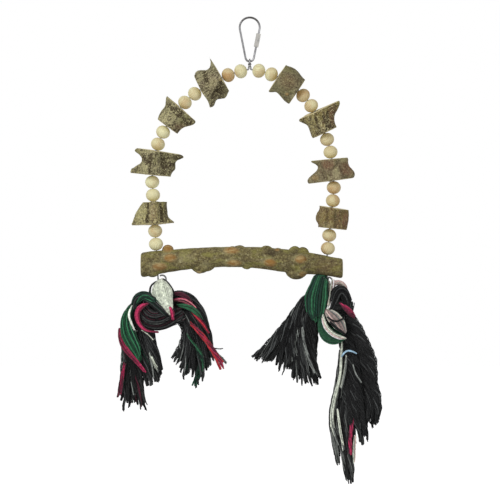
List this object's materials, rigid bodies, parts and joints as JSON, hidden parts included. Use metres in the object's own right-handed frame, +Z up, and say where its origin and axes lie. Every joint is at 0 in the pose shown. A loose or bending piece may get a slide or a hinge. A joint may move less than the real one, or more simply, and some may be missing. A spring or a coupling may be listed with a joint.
{
  "type": "bird swing",
  "caption": "Hanging bird swing: a wire arch strung with wooden beads and thorny branch slices over a branch perch, with knotted rope tassels and a screw link to hang it by.",
  "frame": {"origin": "centre of the top bend of the quick link, where it hangs", "axes": "+Z up, X along the perch with +X to the viewer's right, +Y away from the viewer"},
  "size_m": [0.2683, 0.0387, 0.4619],
  "materials": {
    "link_steel": "plated, satin",
    "wire_steel": "drawn wire",
    "bead_wood": "turned and sanded, raw",
    "bark_wood": "natural bark, sawn ends",
    "cotton_rope": "soft twisted yarn"
  },
  "bodies": {
    "link": {"quick_link": "link_steel"},
    "arch": {"arch_wire": "wire_steel", "perch": "bark_wood"},
    "left_rope": {"left_rope": "cotton_rope"},
    "right_rope": {"right_rope": "cotton_rope"},
    "nut": {"link_nut": "link_steel"},
    "left_chunk_1": {"left_chunk_1": "bark_wood"},
    "left_chunk_2": {"left_chunk_2": "bark_wood"},
    "left_chunk_3": {"left_chunk_3": "bark_wood"},
    "left_chunk_4": {"left_chunk_4": "bark_wood"},
    "right_chunk_1": {"right_chunk_1": "bark_wood"},
    "right_chunk_2": {"right_chunk_2": "bark_wood"},
    "right_chunk_3": {"right_chunk_3": "bark_wood"},
    "right_chunk_4": {"right_chunk_4": "bark_wood"},
    "left_bead_01": {"left_bead_01": "bead_wood"},
    "left_bead_02": {"left_bead_02": "bead_wood"},
    "left_bead_03": {"left_bead_03": "bead_wood"},
    "left_bead_04": {"left_bead_04": "bead_wood"},
    "left_bead_05": {"left_bead_05": "bead_wood"},
    "left_bead_06": {"left_bead_06": "bead_wood"},
    "left_bead_07": {"left_bead_07": "bead_wood"},
    "left_bead_08": {"left_bead_08": "bead_wood"},
    "left_bead_09": {"left_bead_09": "bead_wood"},
    "left_bead_10": {"left_bead_10": "bead_wood"},
    "right_bead_01": {"right_bead_01": "bead_wood"},
    "right_bead_02": {"right_bead_02": "bead_wood"},
    "right_bead_03": {"right_bead_03": "bead_wood"},
    "right_bead_04": {"right_bead_04": "bead_wood"},
    "right_bead_05": {"right_bead_05": "bead_wood"},
    "right_bead_06": {"right_bead_06": "bead_wood"},
    "right_bead_07": {"right_bead_07": "bead_wood"},
    "right_bead_08": {"right_bead_08": "bead_wood"},
    "right_bead_09": {"right_bead_09": "bead_wood"},
    "right_bead_10": {"right_bead_10": "bead_wood"}
  },
  "joints": [
    {"name": "arch_swing", "type": "hinge", "parent": "link", "child": "arch", "pos_m": [0, 0, -0.034], "axis": [1, 0, 0], "range_deg": [-60, 60]},
    {"name": "left_rope_swing", "type": "hinge", "parent": "arch", "child": "left_rope", "pos_m": [-0.08756, 0, -0.25573], "axis": [1, 0, 0], "range_deg": [-35, 35]},
    {"name": "right_rope_swing", "type": "hinge", "parent": "arch", "child": "right_rope", "pos_m": [0.07873, 0, -0.25787], "axis": [1, 0, 0], "range_deg": [-35, 35]},
    {"name": "link_nut_slide", "type": "slide", "parent": "link", "child": "nut", "axis": [-0.1946, 0, -0.9809], "range_m": [0, 0.0095]},
    {"name": "left_chunk_1_spin", "type": "hinge", "parent": "arch", "child": "left_chunk_1", "pos_m": [-0.03888, 0, -0.05579], "axis": [0.8728, 0, 0.4881], "continuous": true},
    {"name": "left_chunk_2_spin", "type": "hinge", "parent": "arch", "child": "left_chunk_2", "pos_m": [-0.0767, 0, -0.08903], "axis": [0.5949, 0, 0.8038], "continuous": true},
    {"name": "left_chunk_3_spin", "type": "hinge", "parent": "arch", "child": "left_chunk_3", "pos_m": [-0.09615, 0, -0.13532], "axis": [0.1468, 0, 0.9892], "continuous": true},
    {"name": "left_chunk_4_spin", "type": "hinge", "parent": "arch", "child": "left_chunk_4", "pos_m": [-0.09561, 0, -0.18556], "axis": [-0.061, 0, 0.9981], "continuous": true},
    {"name": "right_chunk_1_spin", "type": "hinge", "parent": "arch", "child": "right_chunk_1", "pos_m": [0.03859, 0, -0.0558], "axis": [-0.8324, 0, 0.5542], "continuous": true},
    {"name": "right_chunk_2_spin", "type": "hinge", "parent": "arch", "child": "right_chunk_2", "pos_m": [0.07041, 0, -0.09458], "axis": [-0.4245, 0, 0.9054], "continuous": true},
    {"name": "right_chunk_3_spin", "type": "hinge", "parent": "arch", "child": "right_chunk_3", "pos_m": [0.08342, 0, -0.14222], "axis": [-0.0931, 0, 0.9957], "continuous": true},
    {"name": "right_chunk_4_spin", "type": "hinge", "parent": "arch", "child": "right_chunk_4", "pos_m": [0.08137, 0, -0.19049], "axis": [0.1045, 0, 0.9945], "continuous": true},
    {"name": "left_bead_01_spin", "type": "hinge", "parent": "arch", "child": "left_bead_01", "pos_m": [-0.009, 0, -0.04379], "axis": [0.9712, 0, 0.2382], "continuous": true},
    {"name": "left_bead_02_spin", "type": "hinge", "parent": "arch", "child": "left_bead_02", "pos_m": [-0.02152, 0, -0.04759], "axis": [0.9395, 0, 0.3424], "continuous": true},
    {"name": "left_bead_03_spin", "type": "hinge", "parent": "arch", "child": "left_bead_03", "pos_m": [-0.05495, 0, -0.06629], "axis": [0.7836, 0, 0.6212], "continuous": true},
    {"name": "left_bead_04_spin", "type": "hinge", "parent": "arch", "child": "left_bead_04", "pos_m": [-0.06475, 0, -0.07496], "axis": [0.7113, 0, 0.7029], "continuous": true},
    {"name": "left_bead_05_spin", "type": "hinge", "parent": "arch", "child": "left_bead_05", "pos_m": [-0.0866, 0, -0.10459], "axis": [0.4541, 0, 0.891], "continuous": true},
    {"name": "left_bead_06_spin", "type": "hinge", "parent": "arch", "child": "left_bead_06", "pos_m": [-0.09177, 0, -0.11661], "axis": [0.3338, 0, 0.9426], "continuous": true},
    {"name": "left_bead_07_spin", "type": "hinge", "parent": "arch", "child": "left_bead_07", "pos_m": [-0.09742, 0, -0.15451], "axis": [-0.0362, 0, 0.9993], "continuous": true},
    {"name": "left_bead_08_spin", "type": "hinge", "parent": "arch", "child": "left_bead_08", "pos_m": [-0.09671, 0, -0.16759], "axis": [-0.061, 0, 0.9981], "continuous": true},
    {"name": "left_bead_09_spin", "type": "hinge", "parent": "arch", "child": "left_bead_09", "pos_m": [-0.09451, 0, -0.20352], "axis": [-0.061, 0, 0.9981], "continuous": true},
    {"name": "left_bead_10_spin", "type": "hinge", "parent": "arch", "child": "left_bead_10", "pos_m": [-0.09371, 0, -0.2166], "axis": [-0.061, 0, 0.9981], "continuous": true},
    {"name": "right_bead_01_spin", "type": "hinge", "parent": "arch", "child": "right_bead_01", "pos_m": [0.00908, 0, -0.04333], "axis": [-0.9814, 0, 0.1919], "continuous": true},
    {"name": "right_bead_02_spin", "type": "hinge", "parent": "arch", "child": "right_bead_02", "pos_m": [0.02167, 0, -0.04685], "axis": [-0.9385, 0, 0.3454], "continuous": true},
    {"name": "right_bead_03_spin", "type": "hinge", "parent": "arch", "child": "right_bead_03", "pos_m": [0.05337, 0, -0.06796], "axis": [-0.6806, 0, 0.7326], "continuous": true},
    {"name": "right_bead_04_spin", "type": "hinge", "parent": "arch", "child": "right_bead_04", "pos_m": [0.06147, 0, -0.07821], "axis": [-0.5565, 0, 0.8308], "continuous": true},
    {"name": "right_bead_05_spin", "type": "hinge", "parent": "arch", "child": "right_bead_05", "pos_m": [0.07737, 0, -0.11191], "axis": [-0.3037, 0, 0.9528], "continuous": true},
    {"name": "right_bead_06_spin", "type": "hinge", "parent": "arch", "child": "right_bead_06", "pos_m": [0.08078, 0, -0.12454], "axis": [-0.2159, 0, 0.9764], "continuous": true},
    {"name": "right_bead_07_spin", "type": "hinge", "parent": "arch", "child": "right_bead_07", "pos_m": [0.0841, 0, -0.16008], "axis": [0.031, 0, 0.9995], "continuous": true},
    {"name": "right_bead_08_spin", "type": "hinge", "parent": "arch", "child": "right_bead_08", "pos_m": [0.08318, 0, -0.17314], "axis": [0.1003, 0, 0.995], "continuous": true},
    {"name": "right_bead_09_spin", "type": "hinge", "parent": "arch", "child": "right_bead_09", "pos_m": [0.07955, 0, -0.20785], "axis": [0.1045, 0, 0.9945], "continuous": true},
    {"name": "right_bead_10_spin", "type": "hinge", "parent": "arch", "child": "right_bead_10", "pos_m": [0.07818, 0, -0.22088], "axis": [0.1045, 0, 0.9945], "continuous": true}
  ]
}
